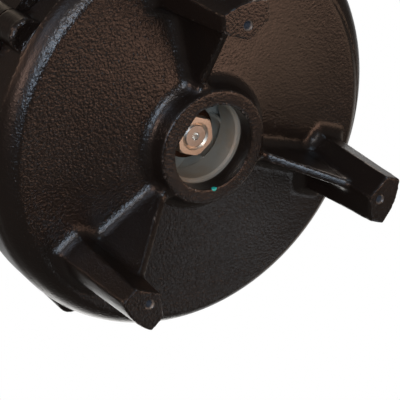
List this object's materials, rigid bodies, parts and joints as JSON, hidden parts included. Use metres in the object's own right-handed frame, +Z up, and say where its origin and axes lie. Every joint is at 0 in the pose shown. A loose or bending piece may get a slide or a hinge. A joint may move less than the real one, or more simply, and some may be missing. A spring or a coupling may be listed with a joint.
{
  "type": "submersible pump",
  "caption": "Submersible effluent pump on legs: bottom suction through a collar, closed impeller in a volute, upright threaded outlet, oil-filled motor, lifting handle.",
  "frame": {"origin": "on the shaft's axis, in the plane of the feet", "axes": "+Z up along the shaft, from the feet towards the handle; +X over the leg nearest the outlet; right-handed"},
  "size_m": [0.3423, 0.2704, 0.458],
  "materials": {
    "painted_iron": "black-brown enamel over a fine cast skin, satin",
    "grey_moulding": "moulded, satin",
    "nut_steel": "turned face, warm sheen",
    "stainless": "machined",
    "bronze": "stained dark brown",
    "black_rubber": "matt",
    "gasket": "matt fibre and rubber",
    "laminations": "stacked sheets",
    "cast_aluminium": "cast",
    "copper": "varnished copper wire",
    "copper_washer": "plain copper",
    "carbon": "lapped",
    "ceramic": "lapped",
    "bearing_steel": "ground",
    "spring_steel": "blackened",
    "brass": "machined",
    "capacitor_can": "drawn can, bare",
    "moulding_black": "moulded"
  },
  "bodies": {
    "pump_frame": {"volute_casing": "painted_iron", "seal_plate": "painted_iron", "casing_o_ring": "black_rubber", "housing_o_ring": "black_rubber", "casing_screws": "stainless", "casing_screw_washers": "stainless", "motor_housing": "painted_iron", "stator_core": "laminations", "stator_windings": "copper", "lower_bearing_outer_ring": "bearing_steel", "upper_bearing_outer_ring": "bearing_steel", "bearing_retaining_ring": "spring_steel", "preload_washer": "spring_steel", "seal_fixed_ring": "ceramic", "seal_seat_cup": "black_rubber", "top_cover": "painted_iron", "cover_gasket": "gasket", "cover_screws": "stainless", "lifting_handle": "stainless", "handle_screws": "stainless", "handle_lock_washers": "stainless", "cable_gland_body": "brass", "cable_gland_nut": "brass", "cable_grommet": "black_rubber", "oil_plug": "brass", "oil_plug_washer": "copper_washer", "capacitor": "capacitor_can", "capacitor_clamp": "stainless", "clamp_screw": "stainless", "terminal_block": "moulding_black", "terminal_screws": "brass"},
    "rotor": {"rotor_shaft": "stainless", "impeller": "grey_moulding", "impeller_key": "stainless", "impeller_washer": "bronze", "impeller_nut": "nut_steel", "rotor_core": "laminations", "rotor_end_rings": "cast_aluminium", "shaft_retaining_ring": "spring_steel", "seal_spring": "stainless", "seal_boot": "black_rubber", "seal_drive_band": "stainless", "seal_rotating_ring": "carbon", "lower_bearing_inner_ring": "bearing_steel", "upper_bearing_inner_ring": "bearing_steel"},
    "lower_ball_set": {"lower_bearing_balls": "bearing_steel", "lower_bearing_cage": "bearing_steel"},
    "upper_ball_set": {"upper_bearing_balls": "bearing_steel", "upper_bearing_cage": "bearing_steel"}
  },
  "joints": [
    {"name": "rotor_spin", "type": "hinge", "parent": "pump_frame", "child": "rotor", "pos_m": [0, 0, 0.157], "axis": [0, 0, 1], "continuous": true},
    {"name": "lower_ball_spin", "type": "hinge", "parent": "pump_frame", "child": "lower_ball_set", "pos_m": [0, 0, 0.157], "axis": [0, 0, 1], "continuous": true},
    {"name": "upper_ball_spin", "type": "hinge", "parent": "pump_frame", "child": "upper_ball_set", "pos_m": [0, 0, 0.305], "axis": [0, 0, 1], "continuous": true}
  ],
  "couplings": [
    {"joint": "lower_ball_spin", "follows": "rotor_spin", "ratio": 0.3821},
    {"joint": "upper_ball_spin", "follows": "rotor_spin", "ratio": 0.3825}
  ]
}
